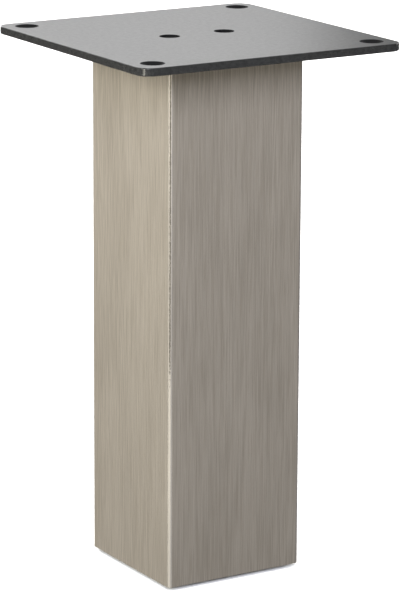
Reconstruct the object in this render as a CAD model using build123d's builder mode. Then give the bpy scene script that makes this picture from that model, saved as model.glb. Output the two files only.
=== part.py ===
from build123d import *
import os

os.makedirs("parts", exist_ok=True)

# Short square counter support leg, in millimetres.
# Z points up. The origin is on the floor, under the middle of the foot pad, and X runs along the line
# of the two centre holes in the mounting plate.

# Mounting plate
plate_width = 150.0
plate_thickness = 4.0
plate_corner_radius = 7.5
plate_edge_round = 0.5
plate_edge_break = 0.3
corner_hole_spacing = 126.0
corner_hole_diameter = 6.5
countersink_diameter = 12.0
countersink_angle = 90.0
centre_hole_spacing = 32.0
centre_hole_diameter = 10.5

# Square tube, and the fit of the two steel squares welded into its ends
tube_width = 78.0
tube_wall = 1.5
tube_corner_radius = 2.0
tube_length = 271.0
weld_clearance = 0.15
insert_corner_chamfer = 3.0

# Cap welded into the tube's top, and what screws it to the plate
cap_thickness = 6.0
cap_screw_diameter = 8.0
cap_screw_tip_depth = 2.0
cap_screw_tip_chamfer = 1.0
cap_screw_head_flats = 13.0
cap_screw_head_height = 5.3
washer_diameter = 24.0
washer_thickness = 2.0
washer_clearance = 0.2
nut_body_diameter = 12.7
nut_body_height = 5.5
nut_shank_length = 1.5
nut_press_clearance = 0.03
nut_body_clearance = 0.4

# Base plate welded into the tube above its lower rim, and the bush that carries the foot
base_thickness = 5.0
bush_diameter = 18.0
bush_length = 24.0
bush_flange_diameter = 26.0
bush_flange_thickness = 3.0
bush_mouth_chamfer = 1.0
bush_press_clearance = 0.03

# Levelling foot
foot_proud = 2.0
foot_travel = 20.0
stem_diameter = 10.0
stem_tip_chamfer = 1.2
stem_engagement = 12.0
stem_hex_flats = 14.0
stem_hex_height = 5.0
hex_stop_gap = 0.4
thread_clearance = 0.06
journal_diameter = 8.0
journal_clearance = 0.1
journal_end_gap = 0.4
thrust_clearance = 0.1
bead_lead_in = 1.0
bead_height = 1.4
bead_overhang = 0.6
bead_play = 0.2
pad_diameter = 60.0
pad_height = 11.0
pad_floor = 3.0
pad_bore_floor = 2.0
pad_rim_height = 6.0
pad_rim_wall = 2.5
pad_hub_diameter = 22.0
pad_rib_thickness = 2.2
pad_rib_count = 8
pad_scallop_radius = 3.0
pad_scallop_depth = 0.7
pad_scallop_count = 18
pad_foot_edge = 0.8
pad_relief_diameter = 40.0
pad_relief_depth = 0.6

# Levels, from the floor up
pad_bore_bottom = pad_relief_depth + pad_bore_floor
journal_bottom = pad_bore_bottom + journal_end_gap
bead_bottom = journal_bottom + bead_lead_in
bead_top = bead_bottom + bead_height
hex_bottom = pad_height + thrust_clearance
hex_top = hex_bottom + stem_hex_height
bush_bottom = hex_top + hex_stop_gap
base_bottom = bush_bottom + bush_flange_thickness
base_top = base_bottom + base_thickness
bush_top = bush_bottom + bush_length
stem_top = bush_bottom + foot_travel + stem_engagement
tube_bottom = foot_proud
tube_top = tube_bottom + tube_length
cap_bottom = tube_top - cap_thickness
washer_bottom = cap_bottom - washer_thickness
plate_top = tube_top + plate_thickness

# Widths that follow from the fits
tube_bore = tube_width - 2 * tube_wall
insert_width = tube_bore - 2 * weld_clearance
cap_hole_diameter = nut_body_diameter + 2 * nut_body_clearance
screw_bore_diameter = cap_screw_diameter + 2 * thread_clearance
washer_bore_diameter = cap_screw_diameter + 2 * washer_clearance
bead_diameter = journal_diameter + 2 * bead_overhang
screw_spots = [(-centre_hole_spacing / 2, 0), (centre_hole_spacing / 2, 0)]


# Mounting plate: flat bar with rounded corners, its top edges rounded and its lower ones only broken.
# The cones of its corner holes open upward.
with BuildPart() as mounting_plate:
    with BuildSketch(Plane.XY.offset(tube_top)):
        RectangleRounded(plate_width, plate_width, plate_corner_radius)
    extrude(amount=plate_thickness)
    fillet(mounting_plate.faces().sort_by(Axis.Z)[-1].edges(), plate_edge_round)
    chamfer(mounting_plate.faces().sort_by(Axis.Z)[0].edges(), plate_edge_break)
    with BuildSketch(Plane.XY.offset(plate_top)) as centre_holes:
        with Locations(*screw_spots):
            Circle(centre_hole_diameter / 2)
    extrude(amount=-plate_thickness, mode=Mode.SUBTRACT)
    with Locations(Plane.XY.offset(plate_top)):
        with GridLocations(corner_hole_spacing, corner_hole_spacing, 2, 2):
            CounterSinkHole(
                corner_hole_diameter / 2,
                countersink_diameter / 2,
                counter_sink_angle=countersink_angle,
            )
mounting_plate.part.label = "mounting_plate"
export_step(mounting_plate.part, "parts/mounting_plate.step")


# Leg tube: welded square tube, its inner corners one wall inside the outer ones
with BuildPart() as leg_tube:
    with BuildSketch(Plane.XY.offset(tube_bottom)):
        RectangleRounded(tube_width, tube_width, tube_corner_radius)
        offset(amount=-tube_wall, mode=Mode.SUBTRACT)
    extrude(amount=tube_length)
leg_tube.part.label = "leg_tube"
export_step(leg_tube.part, "parts/leg_tube.step")


# Clinch nuts: round bodies under the mounting plate, each with a shank pressed up into a centre hole
with BuildPart() as clinch_nuts:
    with BuildSketch(Plane.XY.offset(tube_top - nut_body_height)):
        with Locations(*screw_spots):
            Circle(nut_body_diameter / 2)
    extrude(amount=nut_body_height)
    with BuildSketch(Plane.XY.offset(tube_top)):
        with Locations(*screw_spots):
            Circle(centre_hole_diameter / 2 - nut_press_clearance)
    extrude(amount=nut_shank_length)
    with BuildSketch(Plane.XY.offset(tube_top - nut_body_height)):
        with Locations(*screw_spots):
            Circle(screw_bore_diameter / 2)
    extrude(amount=nut_body_height + nut_shank_length, mode=Mode.SUBTRACT)
clinch_nuts.part.label = "clinch_nuts"
export_step(clinch_nuts.part, "parts/clinch_nuts.step")


# Tube cap: steel square welded flush into the tube's top, bored to clear the nuts' bodies
with BuildPart() as tube_cap:
    with BuildSketch(Plane.XY.offset(cap_bottom)):
        Rectangle(insert_width, insert_width)
        with Locations(*screw_spots):
            Circle(cap_hole_diameter / 2, mode=Mode.SUBTRACT)
    extrude(amount=cap_thickness)
    upright_edges = tube_cap.edges().filter_by(Axis.Z).filter_by(GeomType.LINE)
    chamfer(upright_edges.group_by(Axis.X)[0] + upright_edges.group_by(Axis.X)[-1], insert_corner_chamfer)
tube_cap.part.label = "tube_cap"
export_step(tube_cap.part, "parts/tube_cap.step")


# Cap washers: wide enough to span the bores in the cap
with BuildPart() as cap_washers:
    with BuildSketch(Plane.XY.offset(washer_bottom)):
        with Locations(*screw_spots):
            Circle(washer_diameter / 2)
            Circle(washer_bore_diameter / 2, mode=Mode.SUBTRACT)
    extrude(amount=washer_thickness)
cap_washers.part.label = "cap_washers"
export_step(cap_washers.part, "parts/cap_washers.step")


# Cap screws: hex heads under the washers, shanks up through the nuts and ending below the plate's top
with BuildPart() as cap_screws:
    with BuildSketch(Plane.XY.offset(washer_bottom - cap_screw_head_height)):
        with Locations(*screw_spots):
            RegularPolygon(cap_screw_head_flats / 2, 6, major_radius=False)
    extrude(amount=cap_screw_head_height)
    with BuildSketch(Plane.XY.offset(washer_bottom)):
        with Locations(*screw_spots):
            Circle(cap_screw_diameter / 2)
    extrude(amount=plate_top - cap_screw_tip_depth - washer_bottom)
    chamfer(cap_screws.faces().sort_by(Axis.Z)[-2:].edges(), cap_screw_tip_chamfer)
cap_screws.part.label = "cap_screws"
export_step(cap_screws.part, "parts/cap_screws.step")


# Base plate: steel square welded across the tube, high enough above its rim to take the foot in
with BuildPart() as base_plate:
    with BuildSketch(Plane.XY.offset(base_bottom)):
        Rectangle(insert_width, insert_width)
        Circle(bush_diameter / 2 + bush_press_clearance, mode=Mode.SUBTRACT)
    extrude(amount=base_thickness)
    upright_edges = base_plate.edges().filter_by(Axis.Z).filter_by(GeomType.LINE)
    chamfer(upright_edges.group_by(Axis.X)[0] + upright_edges.group_by(Axis.X)[-1], insert_corner_chamfer)
base_plate.part.label = "base_plate"
export_step(base_plate.part, "parts/base_plate.step")


# Threaded bush: turned, with its flange under the base plate, where the foot pushes up
with BuildPart() as threaded_bush:
    with BuildSketch(Plane.XY.offset(bush_bottom)):
        Circle(bush_flange_diameter / 2)
    extrude(amount=bush_flange_thickness)
    with BuildSketch(Plane.XY.offset(bush_bottom)):
        Circle(bush_diameter / 2)
    extrude(amount=bush_length)
    with BuildSketch(Plane.XY.offset(bush_bottom)):
        Circle(stem_diameter / 2 + thread_clearance)
    extrude(amount=bush_length, mode=Mode.SUBTRACT)
    mouth_rim = threaded_bush.faces().sort_by(Axis.Z)[0].edges().sort_by(SortBy.RADIUS)[0]
    chamfer(mouth_rim, bush_mouth_chamfer)
threaded_bush.part.label = "threaded_bush"
export_step(threaded_bush.part, "parts/threaded_bush.step")


# Foot stem: screw, hexagon and a plain journal whose bead snaps into the pad
with BuildPart() as foot_stem:
    with BuildSketch(Plane.XY.offset(hex_bottom)):
        RegularPolygon(stem_hex_flats / 2, 6, major_radius=False)
    extrude(amount=stem_hex_height)
    with BuildSketch(Plane.XZ):
        with BuildLine():
            Polyline(
                (0, journal_bottom),
                (journal_diameter / 2, journal_bottom),
                (bead_diameter / 2, bead_bottom),
                (bead_diameter / 2, bead_top),
                (journal_diameter / 2, bead_top),
                (journal_diameter / 2, hex_bottom),
                (stem_diameter / 2, hex_bottom),
                (stem_diameter / 2, stem_top - stem_tip_chamfer),
                (stem_diameter / 2 - stem_tip_chamfer, stem_top),
                (0, stem_top),
                close=True,
            )
        make_face()
    revolve(axis=Axis.Z)
foot_stem.part.label = "foot_stem"
export_step(foot_stem.part, "parts/foot_stem.step")


# Foot pad: moulded dish with a hub, ribs that slope from hub to rim, a scalloped grip and a raised ring
# to stand on. The bore is wider at its bottom, where the stem's bead snaps in.
with BuildPart() as foot_pad:
    with BuildSketch(Plane.XZ):
        with BuildLine():
            Polyline(
                (0, pad_relief_depth),
                (pad_relief_diameter / 2, pad_relief_depth),
                (pad_relief_diameter / 2, 0),
                (pad_diameter / 2 - pad_foot_edge, 0),
                (pad_diameter / 2, pad_foot_edge),
                (pad_diameter / 2, pad_rim_height),
                (pad_diameter / 2 - pad_rim_wall, pad_rim_height),
                (pad_hub_diameter / 2, pad_height),
                (0, pad_height),
                close=True,
            )
        make_face()
    revolve(axis=Axis.Z)
    with BuildSketch(Plane.XY.offset(pad_floor)):
        Circle(pad_diameter / 2 - pad_rim_wall)
        with PolarLocations(pad_diameter / 4, pad_rib_count):
            Rectangle(pad_diameter / 2, pad_rib_thickness, mode=Mode.SUBTRACT)
        Circle(pad_hub_diameter / 2, mode=Mode.SUBTRACT)
    extrude(amount=pad_height - pad_floor, mode=Mode.SUBTRACT)
    with BuildSketch():
        with PolarLocations(pad_diameter / 2 + pad_scallop_radius - pad_scallop_depth, pad_scallop_count):
            Circle(pad_scallop_radius)
    extrude(amount=pad_rim_height, mode=Mode.SUBTRACT)
    with BuildSketch(Plane.XY.offset(pad_bore_bottom)):
        Circle(bead_diameter / 2 + journal_clearance)
    extrude(amount=bead_top + bead_play - pad_bore_bottom, mode=Mode.SUBTRACT)
    with BuildSketch(Plane.XY.offset(pad_bore_bottom)):
        Circle(journal_diameter / 2 + journal_clearance)
    extrude(amount=pad_height - pad_bore_bottom, mode=Mode.SUBTRACT)
foot_pad.part.label = "foot_pad"
export_step(foot_pad.part, "parts/foot_pad.step")
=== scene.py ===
import math

import bmesh
import bpy
from mathutils import Matrix, Vector


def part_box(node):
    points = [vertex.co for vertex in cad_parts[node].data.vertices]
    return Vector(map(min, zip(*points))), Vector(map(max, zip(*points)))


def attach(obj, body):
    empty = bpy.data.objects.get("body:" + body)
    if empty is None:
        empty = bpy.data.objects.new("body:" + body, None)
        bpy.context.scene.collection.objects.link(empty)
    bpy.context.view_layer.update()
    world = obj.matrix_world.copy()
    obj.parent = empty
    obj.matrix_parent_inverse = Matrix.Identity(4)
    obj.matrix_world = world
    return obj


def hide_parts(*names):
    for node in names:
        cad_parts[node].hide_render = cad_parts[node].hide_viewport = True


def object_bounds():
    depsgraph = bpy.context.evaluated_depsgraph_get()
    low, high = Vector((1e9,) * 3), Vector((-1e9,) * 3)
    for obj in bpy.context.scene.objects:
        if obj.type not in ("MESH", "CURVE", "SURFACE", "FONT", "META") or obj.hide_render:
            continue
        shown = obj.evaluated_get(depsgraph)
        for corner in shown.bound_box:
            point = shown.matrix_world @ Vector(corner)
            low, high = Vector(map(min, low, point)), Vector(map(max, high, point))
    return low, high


# A short square counter support leg: brushed tube, black plate on top, levelling foot in its lower end.
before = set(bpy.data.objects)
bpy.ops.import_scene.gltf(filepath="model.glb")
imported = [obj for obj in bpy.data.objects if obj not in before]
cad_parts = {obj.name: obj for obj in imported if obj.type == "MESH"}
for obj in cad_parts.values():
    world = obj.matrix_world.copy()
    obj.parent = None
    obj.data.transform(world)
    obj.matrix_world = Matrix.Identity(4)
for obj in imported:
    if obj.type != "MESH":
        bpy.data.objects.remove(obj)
cad_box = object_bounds()
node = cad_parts
mm = 0.001


# Leg tube
# Square tube of 304 stainless steel, cut square at both ends. A belt ran along its length, so it is
# covered in fine straight hairlines, and light spreads sideways on it, across the grain.
def linear(hex_colour):
    """An sRGB hex colour as the linear red, green, blue and alpha that a shader works in."""
    channels = [int(hex_colour[i:i + 2], 16) / 255 for i in (1, 3, 5)]
    return [c / 12.92 if c <= 0.04045 else ((c + 0.055) / 1.055) ** 2.4 for c in channels] + [1.0]


def add_node(material, kind, inputs=None, **settings):
    """Adds a node with its settings. An input is given a value, or another node's output to follow."""
    added = material.node_tree.nodes.new(kind)
    for name, value in settings.items():
        setattr(added, name, value)
    for socket, value in (inputs or {}).items():
        if isinstance(value, bpy.types.NodeSocket):
            material.node_tree.links.new(value, added.inputs[socket])
        else:
            added.inputs[socket].default_value = value
    return added


def new_material(name):
    """A material with no nodes in it yet."""
    material = bpy.data.materials.new(name)
    material.use_nodes = True
    material.node_tree.nodes.clear()
    return material


def dress(name, material):
    """Gives a carried-over CAD node its material."""
    for material_slot in node[name].material_slots:
        material_slot.material = material


def brushed_stainless():
    """Hairlines are really 0.05 to 0.1 mm wide; they are drawn 0.4 mm wide so that they show."""
    hairline_size = (0.4 * mm, 14 * mm)
    streak_size = (0.8 * mm, 40 * mm)
    cloud_size = (24 * mm, 60 * mm)
    nick_size = (0.9 * mm, 0.9 * mm)
    painted_highlight_full_below = 60 * mm
    painted_gap_full_above = 130 * mm
    material = new_material("brushed_304_stainless")
    place = add_node(material, "ShaderNodeTexCoord").outputs["Object"]
    layers = []
    for width, length in (hairline_size, streak_size, cloud_size, nick_size):
        inputs = {"Vector": place, "Scale": (1 / width, 1 / width, 1 / length)}
        stretched = add_node(material, "ShaderNodeMapping", inputs).outputs["Vector"]
        inputs = {"Vector": stretched, "Scale": 1.0, "Detail": 2.0}
        layers.append(add_node(material, "ShaderNodeTexNoise", inputs).outputs["Fac"])
    hairline, streak, cloud, nick = layers
    inputs = {0: hairline, 1: 1.7, 2: streak}
    lines = add_node(material, "ShaderNodeMath", inputs, operation="MULTIPLY_ADD").outputs["Value"]
    inputs = {0: cloud, 1: 0.5, 2: lines}
    wear = add_node(material, "ShaderNodeMath", inputs, operation="MULTIPLY_ADD").outputs["Value"]
    inputs = {"Value": wear, "From Min": 1.28, "From Max": 1.92}
    tone = add_node(material, "ShaderNodeMapRange", inputs).outputs["Result"]
    inputs = {0: tone, 6: linear("#B2A99C"), 7: linear("#CFC6B9")}
    face = add_node(material, "ShaderNodeMix", inputs, data_type="RGBA").outputs[2]

    # Painted highlight along the tube's corners, standing in for the soft boxes' reflection, brightest low
    # down. Higher up on one corner a painted dark gap splits its middle.
    normal = add_node(material, "ShaderNodeNewGeometry").outputs["Normal"]
    facing = add_node(material, "ShaderNodeSeparateXYZ", {0: normal})
    inputs = {0: facing.outputs["X"], 1: facing.outputs["Y"]}
    product = add_node(material, "ShaderNodeMath", inputs, operation="MULTIPLY").outputs["Value"]
    corner = add_node(material, "ShaderNodeMath", {0: product}, operation="ABSOLUTE").outputs["Value"]
    inputs = {0: nick, 1: 0.1, 2: corner}
    ragged = add_node(material, "ShaderNodeMath", inputs, operation="MULTIPLY_ADD").outputs["Value"]
    height = add_node(material, "ShaderNodeSeparateXYZ", {0: place}).outputs["Z"]
    inputs = {"Value": height, "From Min": painted_highlight_full_below, "From Max": painted_gap_full_above}
    upper = add_node(material, "ShaderNodeMapRange", inputs).outputs["Result"]
    # Painted highlight colour for the corners, paler low down than higher up.
    inputs = {0: upper, 6: linear("#C4BEB5"), 7: linear("#B0AAA2")}
    bright = add_node(material, "ShaderNodeMix", inputs, data_type="RGBA").outputs[2]
    inputs = {"Value": ragged, "From Min": 0.15, "From Max": 0.23}
    highlight_mask = add_node(material, "ShaderNodeMapRange", inputs).outputs["Result"]
    inputs = {0: highlight_mask, 6: face, 7: bright}
    face_and_highlight = add_node(material, "ShaderNodeMix", inputs, data_type="RGBA").outputs[2]
    inputs = {0: upper, 1: 0.1, 2: ragged}
    gap_field = add_node(material, "ShaderNodeMath", inputs, operation="MULTIPLY_ADD").outputs["Value"]
    inputs = {"Value": gap_field, "From Min": 0.61, "From Max": 0.63}
    gap_mask = add_node(material, "ShaderNodeMapRange", inputs).outputs["Result"]
    inputs = {0: facing.outputs["X"], 1: facing.outputs["Y"]}
    total = add_node(material, "ShaderNodeMath", inputs, operation="ADD").outputs["Value"]
    one_corner = add_node(material, "ShaderNodeMath", {0: total, 1: -1.0}, operation="LESS_THAN")
    inputs = {0: gap_mask, 1: one_corner.outputs["Value"]}
    painted_gap = add_node(material, "ShaderNodeMath", inputs, operation="MULTIPLY").outputs["Value"]
    # The dark line down the middle of one corner is painted shade between two painted highlights.
    inputs = {0: painted_gap, 6: face_and_highlight, 7: linear("#5A5650")}
    colour = add_node(material, "ShaderNodeMix", inputs, data_type="RGBA").outputs[2]

    inputs = {"Value": hairline, "From Min": 0.3, "From Max": 0.7, "To Min": 0.6, "To Max": 0.52}
    roughness = add_node(material, "ShaderNodeMapRange", inputs).outputs["Result"]
    inputs = {"Height": hairline, "Strength": 0.3, "Distance": 0.01 * mm}
    relief = add_node(material, "ShaderNodeBump", inputs).outputs["Normal"]
    across = add_node(material, "ShaderNodeTangent", direction_type="RADIAL", axis="Z")
    inputs = {
        "Base Color": colour,
        "Metallic": 1.0,
        "Roughness": roughness,
        "Anisotropic": 0.4,
        "Tangent": across.outputs["Tangent"],
        "Normal": relief,
    }
    shader = add_node(material, "ShaderNodeBsdfPrincipled", inputs).outputs["BSDF"]
    add_node(material, "ShaderNodeOutputMaterial", {"Surface": shader})
    return material


dress("leg_tube", brushed_stainless())


# Tube cap and base plate
# Squares sawn from hot-rolled flat bar and welded into the tube's ends. They keep the grey mill skin,
# which is dull and faintly mottled.
def mill_steel():
    mottle_size = 3.5 * mm
    material = new_material("hot_rolled_mild_steel")
    place = add_node(material, "ShaderNodeTexCoord").outputs["Object"]
    inputs = {"Vector": place, "Scale": 1 / mottle_size, "Detail": 4.0}
    mottle = add_node(material, "ShaderNodeTexNoise", inputs).outputs["Fac"]
    inputs = {"Value": mottle, "From Min": 0.35, "From Max": 0.65}
    tone = add_node(material, "ShaderNodeMapRange", inputs).outputs["Result"]
    inputs = {0: tone, 6: linear("#5F6064"), 7: linear("#85837F")}
    colour = add_node(material, "ShaderNodeMix", inputs, data_type="RGBA").outputs[2]
    inputs = {"Value": tone, "To Min": 0.62, "To Max": 0.45}
    roughness = add_node(material, "ShaderNodeMapRange", inputs).outputs["Result"]
    inputs = {"Height": mottle, "Strength": 0.4, "Distance": 0.05 * mm}
    relief = add_node(material, "ShaderNodeBump", inputs).outputs["Normal"]
    inputs = {"Base Color": colour, "Metallic": 1.0, "Roughness": roughness, "Normal": relief}
    shader = add_node(material, "ShaderNodeBsdfPrincipled", inputs).outputs["BSDF"]
    add_node(material, "ShaderNodeOutputMaterial", {"Surface": shader})
    return material


mill_skin = mill_steel()
dress("tube_cap", mill_skin)
dress("base_plate", mill_skin)


# Weld beads
# Four fillet welds hold the base plate in the tube, one to a side, on the underside where the recess
# leaves room for the torch. The bead is a row of overlapping ripples with a straw-coloured heat tint.
weld_leg = 3.2 * mm
weld_length = 46 * mm
weld_end = 1.4 * mm
weld_end_depth = 0.02
weld_throat = 0.78
ripple_pitch = 1.7 * mm
ripple_height = 0.22 * mm
steps_per_ripple = 6
steps_across_bead = 6
smooth_below = math.radians(35)


def new_piece(name, points, faces, material):
    """A mesh object from points and faces, smooth apart from edges that turn by over 35 degrees."""
    mesh = bpy.data.meshes.new(name)
    mesh.from_pydata(points, [], faces)
    skin = bmesh.new()
    skin.from_mesh(mesh)
    bmesh.ops.recalc_face_normals(skin, faces=skin.faces)
    for edge in skin.edges:
        edge.smooth = edge.is_manifold and edge.calc_face_angle(0.0) < smooth_below
    for face in skin.faces:
        face.smooth = True
    skin.to_mesh(mesh)
    skin.free()
    mesh.materials.append(material)
    piece = bpy.data.objects.new(name, mesh)
    bpy.context.scene.collection.objects.link(piece)
    return piece


def bands(rows, count):
    """Faces that join each ring of points to the next one."""
    faces = []
    for row in range(rows - 1):
        for i in range(count):
            low, high = row * count, (row + 1) * count
            j = (i + 1) % count
            faces.append((low + i, low + j, high + j, high + i))
    return faces


def ring_stack(rings):
    """Points and faces of a closed skin over a row of rings that all have as many points."""
    count = len(rings[0])
    points = [point for ring in rings for point in ring]
    start_cap = list(range(count))[::-1]
    end_cap = [(len(rings) - 1) * count + i for i in range(count)]
    return points, [start_cap, *bands(len(rings), count), end_cap]


def weld_rings(inner_wall, underside):
    """Cross-sections of a bead along Y: two flat sides on the steel and a bulging rippled face."""
    rings = []
    steps = int(weld_length / ripple_pitch) * steps_per_ripple
    for i in range(steps + 1):
        along = (i / steps - 0.5) * weld_length
        fade = min(1.0, (weld_length / 2 - abs(along)) / weld_end)
        leg = weld_leg * math.sqrt(max(fade, weld_end_depth))
        phase = (along / ripple_pitch) % 1.0
        bulge = ripple_height * (1 - (2 * phase - 1) ** 2) * fade
        ring = [(inner_wall, along, underside)]
        for k in range(steps_across_bead + 1):
            turn = math.pi / 2 * k / steps_across_bead
            flat_face = weld_throat + (1 - weld_throat) * abs(math.cos(2 * turn))
            reach = leg * flat_face + bulge * math.sin(2 * turn)
            ring.append((inner_wall - reach * math.cos(turn), along, underside - reach * math.sin(turn)))
        rings.append(ring)
    return rings


def weld_steel():
    tint_size = 6 * mm
    material = new_material("tinted_weld_steel")
    place = add_node(material, "ShaderNodeTexCoord").outputs["Object"]
    inputs = {"Vector": place, "Scale": 1 / tint_size, "Detail": 2.0}
    tint = add_node(material, "ShaderNodeTexNoise", inputs).outputs["Fac"]
    inputs = {"Value": tint, "From Min": 0.35, "From Max": 0.65}
    tone = add_node(material, "ShaderNodeMapRange", inputs).outputs["Result"]
    inputs = {0: tone, 6: linear("#8B7A5E"), 7: linear("#A5A19A")}
    colour = add_node(material, "ShaderNodeMix", inputs, data_type="RGBA").outputs[2]
    inputs = {"Base Color": colour, "Metallic": 1.0, "Roughness": 0.38}
    shader = add_node(material, "ShaderNodeBsdfPrincipled", inputs).outputs["BSDF"]
    add_node(material, "ShaderNodeOutputMaterial", {"Surface": shader})
    return material


weld_metal = weld_steel()
tube_wall = 1.5 * mm
tube_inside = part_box("leg_tube")[1].x - tube_wall
base_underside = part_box("base_plate")[0].z
for side in range(4):
    rings = weld_rings(tube_inside, base_underside)
    bead = new_piece(f"base_weld_{side + 1}", *ring_stack(rings), weld_metal)
    bead.data.transform(Matrix.Rotation(side * math.pi / 2, 4, "Z"))
    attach(bead, "leg")


# Threaded bush
# Turned steel bush, pressed up through the base plate with its flange below. Bright zinc plate gives it
# a clean, slightly bluish shine with a faint cloudy bloom.
def zinc_plate():
    bloom_size = 2.4 * mm
    material = new_material("bright_zinc_plated_steel")
    place = add_node(material, "ShaderNodeTexCoord").outputs["Object"]
    inputs = {"Vector": place, "Scale": 1 / bloom_size, "Detail": 3.0}
    bloom = add_node(material, "ShaderNodeTexNoise", inputs).outputs["Fac"]
    inputs = {"Value": bloom, "From Min": 0.35, "From Max": 0.65}
    tone = add_node(material, "ShaderNodeMapRange", inputs).outputs["Result"]
    inputs = {0: tone, 6: linear("#9EA2A6"), 7: linear("#BFC2C5")}
    colour = add_node(material, "ShaderNodeMix", inputs, data_type="RGBA").outputs[2]
    inputs = {"Value": tone, "To Min": 0.34, "To Max": 0.24}
    roughness = add_node(material, "ShaderNodeMapRange", inputs).outputs["Result"]
    inputs = {"Height": bloom, "Strength": 0.15, "Distance": 0.02 * mm}
    relief = add_node(material, "ShaderNodeBump", inputs).outputs["Normal"]
    inputs = {"Base Color": colour, "Metallic": 1.0, "Roughness": roughness, "Normal": relief}
    shader = add_node(material, "ShaderNodeBsdfPrincipled", inputs).outputs["BSDF"]
    add_node(material, "ShaderNodeOutputMaterial", {"Surface": shader})
    return material


zinc = zinc_plate()
dress("threaded_bush", zinc)


# Foot stem
# M10 screw with a 14 mm hexagon forged below the thread and a plain journal that snaps into the pad.
# The thread is a true helix of 1.5 mm pitch, 10 mm across its crests.
ring_points = 48
thread_depth = 0.61
thread_flat = 0.1
rows_per_turn = 10


def circle_ring(radius, height):
    angles = [2 * math.pi * i / ring_points for i in range(ring_points)]
    return [(radius * math.cos(a), radius * math.sin(a), height) for a in angles]


def hexagon_ring(flats, height, widest=math.inf):
    """A hexagon's outline with a flat towards Y. Its corners are cut off at the widest radius."""
    ring = []
    for i in range(ring_points):
        angle = 2 * math.pi * i / ring_points
        from_flat = (angle - math.pi / 6) % (math.pi / 3) - math.pi / 6
        radius = min(flats / 2 / math.cos(from_flat), widest)
        ring.append((radius * math.cos(angle), radius * math.sin(angle), height))
    return ring


def thread_rings(major, pitch, start, end, tip_chamfer):
    """Rings of a helical thread up Z. It runs out at its start and is chamfered at its tip."""
    rings = []
    steps = math.ceil((end - start) / pitch * rows_per_turn)
    for row in range(steps + 1):
        height = start + (end - start) * row / steps
        ring = []
        for i in range(ring_points):
            angle = 2 * math.pi * i / ring_points
            phase = (height / pitch - i / ring_points) % 1.0
            from_crest = (abs(2 * phase - 1) - thread_flat) / (1 - 2 * thread_flat)
            run_out = min(1.0, (height - start) / pitch)
            radius = major - thread_depth * pitch * min(max(from_crest, 0.0), 1.0) * run_out
            radius = min(radius, major - tip_chamfer + (end - height))
            ring.append((radius * math.cos(angle), radius * math.sin(angle), height))
        rings.append(ring)
    return rings


stem_bottom, stem_top = (corner.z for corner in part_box("foot_stem"))
pad_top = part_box("foot_pad")[1].z
journal_radius = 4 * mm
bead_radius = 4.6 * mm
bead_bottom = stem_bottom + 1.0 * mm
bead_top = bead_bottom + 1.4 * mm
thrust_gap = 0.1 * mm
hexagon_flats = 14 * mm
hexagon_height = 5 * mm
hexagon_chamfer = 0.7 * mm
chamfered_corner = 7.15 * mm
stem_radius = 5 * mm
stem_pitch = 1.5 * mm
stem_tip_chamfer = 1.2 * mm
hexagon_bottom = pad_top + thrust_gap
hexagon_top = hexagon_bottom + hexagon_height
rings = [
    circle_ring(journal_radius, stem_bottom),
    circle_ring(bead_radius, bead_bottom),
    circle_ring(bead_radius, bead_top),
    circle_ring(journal_radius, bead_top),
    circle_ring(journal_radius, hexagon_bottom),
    hexagon_ring(hexagon_flats, hexagon_bottom, chamfered_corner),
    hexagon_ring(hexagon_flats, hexagon_bottom + hexagon_chamfer),
    hexagon_ring(hexagon_flats, hexagon_top - hexagon_chamfer),
    hexagon_ring(hexagon_flats, hexagon_top, chamfered_corner),
]
rings += thread_rings(stem_radius, stem_pitch, hexagon_top, stem_top, stem_tip_chamfer)
stem = new_piece("threaded_foot_stem", *ring_stack(rings), zinc)
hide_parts("foot_stem")
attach(stem, "stem")


# Foot pad
# Moulded in black nylon: ribbed from hub to rim, scalloped for the fingers, with a raised ring to stand
# on. It has the dull, faintly pebbled skin of a spark-eroded mould.
def black_nylon():
    pebble_size = 0.4 * mm
    flow_size = 9 * mm
    material = new_material("moulded_black_nylon")
    place = add_node(material, "ShaderNodeTexCoord").outputs["Object"]
    inputs = {"Vector": place, "Scale": 1 / pebble_size, "Detail": 1.0}
    pebble = add_node(material, "ShaderNodeTexNoise", inputs).outputs["Fac"]
    inputs = {"Vector": place, "Scale": 1 / flow_size, "Detail": 2.0}
    flow = add_node(material, "ShaderNodeTexNoise", inputs).outputs["Fac"]
    inputs = {"Value": flow, "From Min": 0.35, "From Max": 0.65}
    tone = add_node(material, "ShaderNodeMapRange", inputs).outputs["Result"]
    inputs = {0: tone, 6: linear("#19191A"), 7: linear("#222223")}
    colour = add_node(material, "ShaderNodeMix", inputs, data_type="RGBA").outputs[2]
    inputs = {"Value": tone, "To Min": 0.5, "To Max": 0.42}
    roughness = add_node(material, "ShaderNodeMapRange", inputs).outputs["Result"]
    inputs = {"Height": pebble, "Strength": 0.5, "Distance": 0.03 * mm}
    relief = add_node(material, "ShaderNodeBump", inputs).outputs["Normal"]
    inputs = {"Base Color": colour, "Roughness": roughness, "IOR": 1.53, "Normal": relief}
    shader = add_node(material, "ShaderNodeBsdfPrincipled", inputs).outputs["BSDF"]
    add_node(material, "ShaderNodeOutputMaterial", {"Surface": shader})
    return material


dress("foot_pad", black_nylon())


# Clinch nuts and cap washers
# M8 nuts pressed up into the mounting plate's centre holes from below, and wide washers under the tube
# cap, both bright zinc-plated like the rest of the fasteners.
dress("clinch_nuts", zinc)
dress("cap_washers", zinc)


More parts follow.
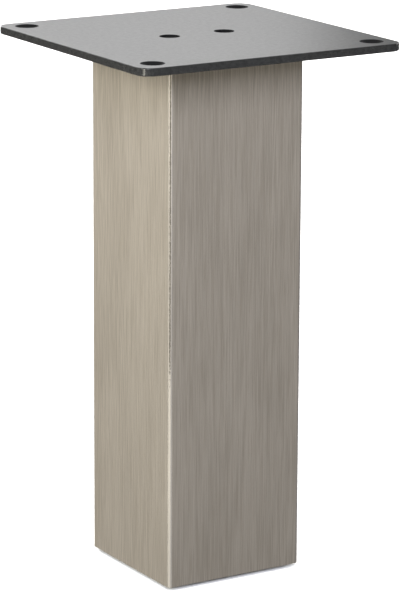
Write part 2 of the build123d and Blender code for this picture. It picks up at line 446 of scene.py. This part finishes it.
# Cap screws
# Two M8 hexagon screws from inside the tube, up through washers, cap and nuts. Their tips end just below
# the plate's top face. The thread of 1.25 mm pitch runs the whole length of the shank.
screws_low, screws_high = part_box("cap_screws")
head_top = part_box("cap_washers")[0].z
head_flats = 13 * mm
head_chamfer = 0.6 * mm
head_corner = 7.0 * mm
screw_radius = 4 * mm
screw_pitch = 1.25 * mm
screw_tip_chamfer = 1 * mm
screw_spacing = screws_high.x - screws_low.x - head_flats / math.cos(math.pi / 6)
for number, side in enumerate((-1, 1), start=1):
    rings = [
        hexagon_ring(head_flats, screws_low.z, head_corner),
        hexagon_ring(head_flats, screws_low.z + head_chamfer),
        hexagon_ring(head_flats, head_top),
    ]
    rings += thread_rings(screw_radius, screw_pitch, head_top, screws_high.z, screw_tip_chamfer)
    screw = new_piece(f"threaded_cap_screw_{number}", *ring_stack(rings), zinc)
    screw.data.transform(Matrix.Translation((side * screw_spacing / 2, 0, 0)))
    if number == 1:
        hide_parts("cap_screws")
    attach(screw, "leg")


# Mounting plate
# Laser-cut flat steel, 4 mm thick, under a fine-textured black polyester powder coat. The baked coat
# stands in tiny pimples, so it is dull from above and shines pale grey at a low angle.
def powder_coat():
    """Pimples in the coat are about 0.2 mm wide; they are drawn 0.5 mm wide so that they show."""
    pimple_size = 0.5 * mm
    peel_size = 2.2 * mm
    corner_hole, corner_hole_rim = (63 * mm, 63 * mm, 0), 6.05 * mm
    centre_hole, centre_hole_rim = (16 * mm, 0, 0), 5.26 * mm
    material = new_material("textured_black_powder_coat")
    place = add_node(material, "ShaderNodeTexCoord").outputs["Object"]
    inputs = {"Vector": place, "Scale": 1 / pimple_size, "Detail": 1.0}
    pimple = add_node(material, "ShaderNodeTexNoise", inputs).outputs["Fac"]
    inputs = {"Vector": place, "Scale": 1 / peel_size, "Detail": 2.0}
    peel = add_node(material, "ShaderNodeTexNoise", inputs).outputs["Fac"]
    inputs = {0: pimple, 1: 2.0, 2: peel}
    bloom = add_node(material, "ShaderNodeMath", inputs, operation="MULTIPLY_ADD").outputs["Value"]
    inputs = {"Value": bloom, "From Min": 0.9, "From Max": 2.1}
    tone = add_node(material, "ShaderNodeMapRange", inputs).outputs["Result"]
    inputs = {0: tone, 6: linear("#0F0F0F"), 7: linear("#2F2F2E")}
    colour = add_node(material, "ShaderNodeMix", inputs, data_type="RGBA").outputs[2]

    # As it bakes, the coat draws thin over the plate's cut edges, so it is smoother and glossier there.
    inputs = {"Value": peel, "From Min": 0.35, "From Max": 0.65, "To Min": 0.325, "To Max": 0.305}
    flat_roughness = add_node(material, "ShaderNodeMapRange", inputs).outputs["Result"]
    normal = add_node(material, "ShaderNodeNewGeometry").outputs["Normal"]
    upward = add_node(material, "ShaderNodeSeparateXYZ", {0: normal}).outputs["Z"]
    inputs = {0: upward, 1: 0.0, 2: 0.5}
    on_edge = add_node(material, "ShaderNodeMath", inputs, operation="COMPARE").outputs["Value"]
    inputs = {0: on_edge, 2: flat_roughness, 3: 0.21}
    roughness = add_node(material, "ShaderNodeMix", inputs).outputs[0]

    # The walls inside the holes are painted near-black, a painted shade for the dark inside of a hole, and
    # made dull.
    folded = add_node(material, "ShaderNodeVectorMath", {0: place}, operation="ABSOLUTE").outputs["Vector"]
    for centre, radius in ((corner_hole, corner_hole_rim), (centre_hole, centre_hole_rim)):
        inputs = {0: folded, 1: centre}
        offset = add_node(material, "ShaderNodeVectorMath", inputs, operation="SUBTRACT").outputs["Vector"]
        inputs = {0: offset, 1: (1, 1, 0)}
        flat = add_node(material, "ShaderNodeVectorMath", inputs, operation="MULTIPLY").outputs["Vector"]
        away = add_node(material, "ShaderNodeVectorMath", {0: flat}, operation="LENGTH").outputs["Value"]
        inputs = {0: away, 1: radius}
        inside = add_node(material, "ShaderNodeMath", inputs, operation="LESS_THAN").outputs["Value"]
        inputs = {0: inside, 6: colour, 7: linear("#050505")}
        colour = add_node(material, "ShaderNodeMix", inputs, data_type="RGBA").outputs[2]
        inputs = {0: inside, 2: roughness, 3: 0.8}
        roughness = add_node(material, "ShaderNodeMix", inputs).outputs[0]

    inputs = {"Height": pimple, "Strength": 0.4, "Distance": 0.04 * mm}
    relief = add_node(material, "ShaderNodeBump", inputs).outputs["Normal"]
    inputs = {
        "Base Color": colour,
        "Roughness": roughness,
        "IOR": 1.5,
        "Specular IOR Level": 0.15,
        "Normal": relief,
    }
    shader = add_node(material, "ShaderNodeBsdfPrincipled", inputs).outputs["BSDF"]
    add_node(material, "ShaderNodeOutputMaterial", {"Surface": shader})
    return material


dress("mounting_plate", powder_coat())


# Floor
# A plain pale floor, wide enough to fill the view behind the leg. The pad stands on it, so it goes with
# the pad, and the leg rises from it as the foot is screwed out.
def pale_floor():
    material = new_material("matt_white_floor")
    inputs = {"Base Color": linear("#F2F1EF"), "Roughness": 0.9}
    shader = add_node(material, "ShaderNodeBsdfPrincipled", inputs).outputs["BSDF"]
    add_node(material, "ShaderNodeOutputMaterial", {"Surface": shader})
    return material


floor_half = 4.0
corners = [(x * floor_half, y * floor_half, 0) for x, y in ((-1, -1), (1, -1), (1, 1), (-1, 1))]
floor = new_piece("floor", corners, [(0, 1, 2, 3)], pale_floor())
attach(floor, "pad")
floor.visible_glossy = False


# Backdrop
# White cloth lit from behind, which rises gently all round the floor for views from low down. Only the
# camera sees it, so it adds no light of its own.
def lit_cloth():
    material = new_material("lit_white_cloth")
    inputs = {"Color": linear("#FFFFFF"), "Strength": 1.0}
    shader = add_node(material, "ShaderNodeEmission", inputs).outputs["Emission"]
    add_node(material, "ShaderNodeOutputMaterial", {"Surface": shader})
    return material


cloth_profile = ((2.6, 0.001), (5.0, 0.03), (7.0, 0.3), (10.0, 1.5), (12.0, 4.0))
cloth_steps = 96
points = []
for radius, height in cloth_profile:
    for i in range(cloth_steps):
        angle = 2 * math.pi * i / cloth_steps
        points.append((radius * math.cos(angle), radius * math.sin(angle), height))
backdrop = new_piece("backdrop", points, bands(len(cloth_profile), cloth_steps), lit_cloth())
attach(backdrop, "pad")
backdrop.visible_diffuse = False
backdrop.visible_glossy = False
backdrop.visible_shadow = False


# Studio
# Dim white surroundings, with soft boxes all round the leg. The camera stands to the left of the wide
# face and looks a little down on the plate.
camera_turn = math.radians(31.41)
camera_tilt = math.radians(13.38)
camera_roll = math.radians(0.26)
camera_distance = 1.563
camera_sideways = 0.002
camera_above_plate = 0.2603
focal_length = 190.7
sensor_width = 36
frame_shift = -0.08
leg_middle = Vector((0, 0, 0.15))
surroundings_strength = 0.17


def around(sideways, back, height):
    """A point given as the camera sees it: to the right, away from the camera, and up."""
    return Matrix.Rotation(-camera_turn, 4, "Z") @ Vector((sideways, back, height))


def soft_box(name, place, aim, width, height, watts, colour):
    """A rectangular light, sized in metres, that the camera itself doesn't see."""
    light = bpy.data.lights.new(name, "AREA")
    light.shape = "RECTANGLE"
    light.size = width
    light.size_y = height
    light.energy = watts
    light.color = linear(colour)[:3]
    box = bpy.data.objects.new(name, light)
    box.location = place
    box.rotation_euler = (aim - place).to_track_quat("-Z", "Y").to_euler()
    box.visible_camera = False
    bpy.context.scene.collection.objects.link(box)


soft_box("plate_box", around(-0.42, 1.5, 0.93), leg_middle, 1.26, 0.9, 9.0, "#FFFFFF")
soft_box("top_box", around(0, 0, 1.9), leg_middle, 2.4, 2.4, 30, "#FFFFFF")
soft_box("front_box", around(0, -3, 1.62), leg_middle, 1.2, 1.35, 166, "#EEF2FF")
soft_box("left_box", around(-2.2, -1.6, 1.2), leg_middle, 1.0, 1.0, 69, "#FFFFF4")
soft_box("corner_box", around(-0.745, -1.065, 0.14), leg_middle, 0.25, 0.26, 8.5, "#FFFAEA")
soft_box("behind_right_box", around(2.0, 1.4, 1.0), leg_middle, 1.4, 1.4, 60, "#FFFFFF")
soft_box("behind_left_box", around(-1.6, 2.4, 1.0), leg_middle, 1.6, 1.4, 60, "#FFFFFF")
soft_box("floor_box", around(0, 1.4, 1.0), around(0, 3.4, 0), 1.2, 0.5, 20, "#FFFFFF")

world = bpy.data.worlds.new("studio")
bpy.context.scene.world = world
world.use_nodes = True
surroundings = world.node_tree.nodes["Background"]
surroundings.inputs["Color"].default_value = linear("#FFFFFF")
surroundings.inputs["Strength"].default_value = surroundings_strength

lens = bpy.data.cameras.new("camera")
lens.sensor_width = sensor_width
lens.lens = focal_length
lens.shift_y = frame_shift
camera = bpy.data.objects.new("camera", lens)
camera.location = around(camera_sideways, -camera_distance, cad_box[1][2] + camera_above_plate)
look = Matrix.Rotation(-camera_turn, 3, "Z") @ Matrix.Rotation(math.pi / 2 - camera_tilt, 3, "X")
camera.rotation_euler = (look @ Matrix.Rotation(camera_roll, 3, "Z")).to_euler()
bpy.context.scene.collection.objects.link(camera)
bpy.context.scene.camera = camera
bpy.context.scene.view_settings.view_transform = "Standard"
